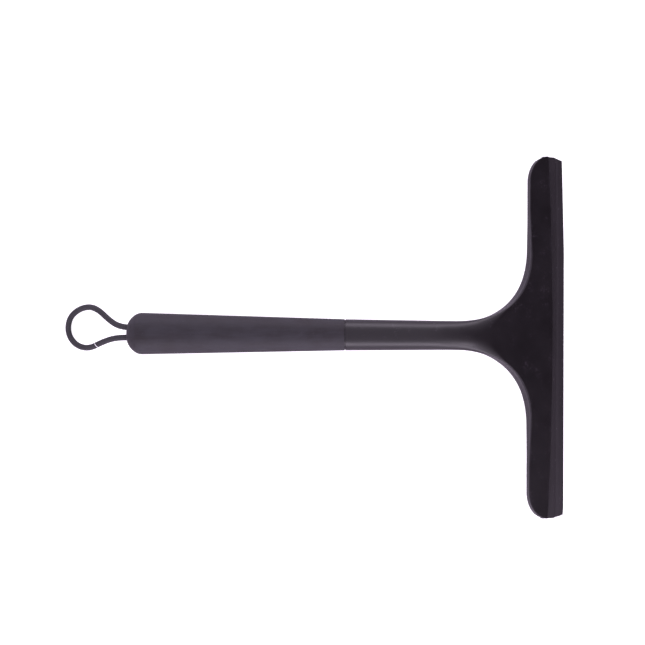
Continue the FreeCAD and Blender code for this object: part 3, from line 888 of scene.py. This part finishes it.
def make_grip():
    """The soft sleeve over the core, with the cord's two holes through its closed end."""
    turn = full_turn(GRIP_SEGMENTS)
    rings = [ring_across(along, radius, turn) for along, radius in grip_profile()]
    grip = skin("grip_skin", rings, capped=False)
    turn = full_turn(HOLE_SEGMENTS)
    for hole_y in CORD_HOLES_Y:
        ends = (-CORD_HOLE_MARGIN, GRIP_WALL + CORD_HOLE_MARGIN)
        rings = [ring_across(along, CORD_HOLE_RADIUS, turn, hole_y) for along in ends]
        combine(grip, skin("cord_hole", rings), "DIFFERENCE")
    smooth_shading(grip)
    set_material(grip, grip_look())
    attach(grip, "handle")
    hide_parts("grip_sleeve")


make_grip()

# ------------------------------------------------------------------ the blade

LIP_THICKNESS = 2.3
LIP_BEVEL = 1.4
LIP_LENGTH = 4.3
WAIST_THICKNESS = 1.9
WAIST_LENGTH = 0.7
WAIST_SLOPE = 1.1
SHOULDER_THICKNESS = 2.9
LIP_INSET = 2.5
BEAD_INSET = 3.6
BEAD_CLEAR = 0.1
BLADE_ROUND = 0.4
LARGEST_LEG_SHARE = 0.4
PLAIN_SHARE = 0.99
LIP_DROOP = 1.7
DROOP_START = 57.0
END_ROUND = 0.2
END_WEAR = 0.5
END_WEAR_LENGTH = 9.0
BLADE_END_POINTS = 4
PLAIN_STATIONS = 61


def round_corners(outline, radius):
    """A closed outline with a short curve in place of each corner."""
    rounded = []
    for i, corner in enumerate(outline):
        legs = [outline[i - 1] - corner, outline[(i + 1) % len(outline)] - corner]
        reach = min([radius] + [np.linalg.norm(leg) * LARGEST_LEG_SHARE for leg in legs])
        start, end = (corner + leg / np.linalg.norm(leg) * reach for leg in legs)
        rounded += [quadratic(share, start, corner, end) for share in (0, 0.25, 0.5, 0.75, 1)]
    return np.array(rounded)


def blade_outline():
    """The blade's section as closed (u, w) points."""
    waist_end = LIP_LENGTH + WAIST_SLOPE + WAIST_LENGTH
    bead = CHANNEL_HEIGHT / 2 - BEAD_CLEAR
    half = [
        (0.0, EDGE_THICKNESS / 2),
        (-LIP_BEVEL, LIP_THICKNESS / 2),
        (-LIP_LENGTH, LIP_THICKNESS / 2),
        (-LIP_LENGTH - WAIST_SLOPE, WAIST_THICKNESS / 2),
        (-waist_end, WAIST_THICKNESS / 2),
        (-waist_end - WAIST_SLOPE, SHOULDER_THICKNESS / 2),
        (CHANNEL_MOUTH - BEAD_CLEAR, SHOULDER_THICKNESS / 2),
        (CHANNEL_MOUTH - BEAD_CLEAR, bead),
        (CHANNEL_BACK + BEAD_CLEAR, bead),
    ]
    return round_corners(np.array(half + [(u, -w) for u, w in reversed(half)]), BLADE_ROUND)


def blade_ends(u):
    """How far the blade reaches each way at u: slanted back to the lip, shorter at the bead."""
    reach = HALF_WIDTH - LIP_INSET * np.clip(1 + u / -JAW_MIDDLE, 0, 1)
    return np.where(u < CHANNEL_MOUTH, HALF_WIDTH - BEAD_INSET, reach)


def blade_stations():
    """(share of the reach, how far the section is drawn in) for each ring."""
    turn = quarter_turn(BLADE_END_POINTS)
    rounded_share = 1 - (1 - np.sin(turn)) * END_ROUND / HALF_WIDTH
    rounded = list(zip(rounded_share, END_ROUND * (1 - np.cos(turn))))
    plain = [(share, 0.0) for share in np.linspace(-PLAIN_SHARE, PLAIN_SHARE, PLAIN_STATIONS)]
    return [(-share, inset) for share, inset in reversed(rounded)] + plain + rounded


def make_blade():
    """The rubber blade: a bead held in the channel, a waist, and a lip with a narrow edge."""
    outline = blade_outline()
    along = np.roll(outline, -1, axis=0) - np.roll(outline, 1, axis=0)
    along /= np.linalg.norm(along, axis=1)[:, None]
    inward = np.column_stack([-along[:, 1], along[:, 0]])
    rings = []
    for share, inset in blade_stations():
        u, w = (outline + inward * inset).T
        y = share * blade_ends(u)
        worn = LIP_DROOP * np.clip((y - DROOP_START) / (HALF_WIDTH - DROOP_START), 0, 1)
        worn += END_WEAR * smooth((-y - HALF_WIDTH + END_WEAR_LENGTH) / END_WEAR_LENGTH)
        x, z = head_point(u - worn * smooth(1 + u / -JAW_MIDDLE), w)
        rings.append(np.column_stack([x, y, z]))
    blade = skin("rubber_blade", rings)
    smooth_shading(blade)
    set_material(blade, blade_look())
    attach(blade, "blade")
    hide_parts("squeegee_blade")


make_blade()

# ------------------------------------------------------------------ camera and studio

# The picture's width and middle are those at the height of the grip's axis.
PICTURE_WIDTH = 425.8
PICTURE_MIDDLE = (-15.1, 8.25, 12.0)
CAMERA_DISTANCE = 1588.0
CAMERA_TILT = math.radians(2.7)
CAMERA_ROLL = math.radians(0.42)

# Each softbox has its name, place, size and power, and they and the floor are in metres.
SOFTBOXES = (
    ("softbox_near", (0.05, -1.1, 0.27), (1.8, 0.52), 15.0),
    ("softbox_far", (0.05, 1.1, 0.25), (1.8, 0.58), 12.0),
    ("fill_ahead", (0.34, -0.35, 0.26), (0.14, 0.12), 1.15),
)
SOFTBOX_AIM = (0.03, 0.0, 0.0)
SOFTBOX_COLOUR = (1.0, 0.9, 1.06)
LIGHT_COLOUR = (1.0, 0.89, 1.09)
LOW_LIGHT = 1.35
HIGH_LIGHT = 1.52
DARK_SHARE = 0.97

# Where the surroundings' light changes, in the direction's Z for the first two and in its X.
OVERHEAD_FADE = (0.25, 0.95)
HORIZON_FADE = (-0.05, 0.25)
AHEAD_FADE = (0.25, 0.60)

FLOOR_HALF = 6.0
FLOOR_COLOUR = (0.64, 0.61, 0.65)
FLOOR_GLOW = 0.75


def make_camera():
    """The camera looks almost straight down, from a little towards -Y."""
    data = bpy.data.cameras.new("camera")
    data.lens = data.sensor_width * CAMERA_DISTANCE / PICTURE_WIDTH
    data.clip_end = 20.0
    camera = add_object("camera", data)
    camera.rotation_euler = (CAMERA_TILT, 0, CAMERA_ROLL)
    away = camera.rotation_euler.to_matrix() @ Vector((0, 0, CAMERA_DISTANCE))
    camera.location = (Vector(PICTURE_MIDDLE) + away) * MM
    bpy.context.scene.camera = camera


def make_softbox(name, place, size, power):
    """A rectangular light that faces the object and isn't seen itself."""
    data = bpy.data.lights.new(name, "AREA")
    data.shape = "RECTANGLE"
    data.size, data.size_y = size
    data.energy = power
    data.color = SOFTBOX_COLOUR
    light = add_object(name, data)
    light.visible_camera = False
    light.location = place
    aim = Vector(SOFTBOX_AIM) - light.location
    light.rotation_euler = aim.to_track_quat("-Z", "Y").to_euler()


def make_floor():
    """The pale floor, which glows for the camera alone, so that it shows as white."""
    mesh = bpy.data.meshes.new("floor")
    corners = [(-1, -1), (1, -1), (1, 1), (-1, 1)]
    mesh.from_pydata([(x * FLOOR_HALF, y * FLOOR_HALF, 0) for x, y in corners], [], [(0, 1, 2, 3)])
    floor = add_object("floor", mesh)
    look = Look("pale_floor", Roughness=0.9, Specular_IOR_Level=0.2)
    look.shader.inputs["Base Color"].default_value = opaque(FLOOR_COLOUR)
    look.shader.inputs["Emission Color"].default_value = (1, 1, 1, 1)
    seen = look.node("LightPath").outputs["Is Camera Ray"]
    look.drive("Emission Strength", look.math("MULTIPLY", seen, FLOOR_GLOW))
    set_material(floor, look.material)


def make_surroundings():
    """A studio's soft surroundings: a little brighter overhead, and dark above the horizon
    ahead of the head, where its sloping face looks."""
    world = bpy.data.worlds.new("studio")
    world.use_nodes = True
    tree = world.node_tree

    def combined(operation, first, second):
        return add_node(tree, "Math", {0: first, 1: second}, operation=operation).outputs[0]

    direction = add_node(tree, "TexCoord").outputs["Generated"]
    parts = add_node(tree, "SeparateXYZ", {"Vector": direction}).outputs
    fade = {"interpolation_type": "SMOOTHSTEP"}
    light = add_range(tree, parts["Z"], (*OVERHEAD_FADE, LOW_LIGHT, HIGH_LIGHT), **fade)
    above = add_range(tree, parts["Z"], (*HORIZON_FADE, 0.0, DARK_SHARE), **fade)
    ahead = add_range(tree, parts["X"], (*AHEAD_FADE, 0.0, 1.0))
    kept = combined("SUBTRACT", 1.0, combined("MULTIPLY", ahead, above))
    background = tree.nodes["Background"].inputs
    background["Color"].default_value = opaque(LIGHT_COLOUR)
    tree.links.new(combined("MULTIPLY", light, kept), background["Strength"])
    bpy.context.scene.world = world


def make_studio():
    """The surroundings, the softboxes and the floor."""
    make_surroundings()
    for softbox in SOFTBOXES:
        make_softbox(*softbox)
    make_floor()
    bpy.context.scene.view_settings.view_transform = "Standard"


make_camera()
make_studio()

for node in ("handle_core", "cord_anchor"):
    set_material(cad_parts[node], core_look())
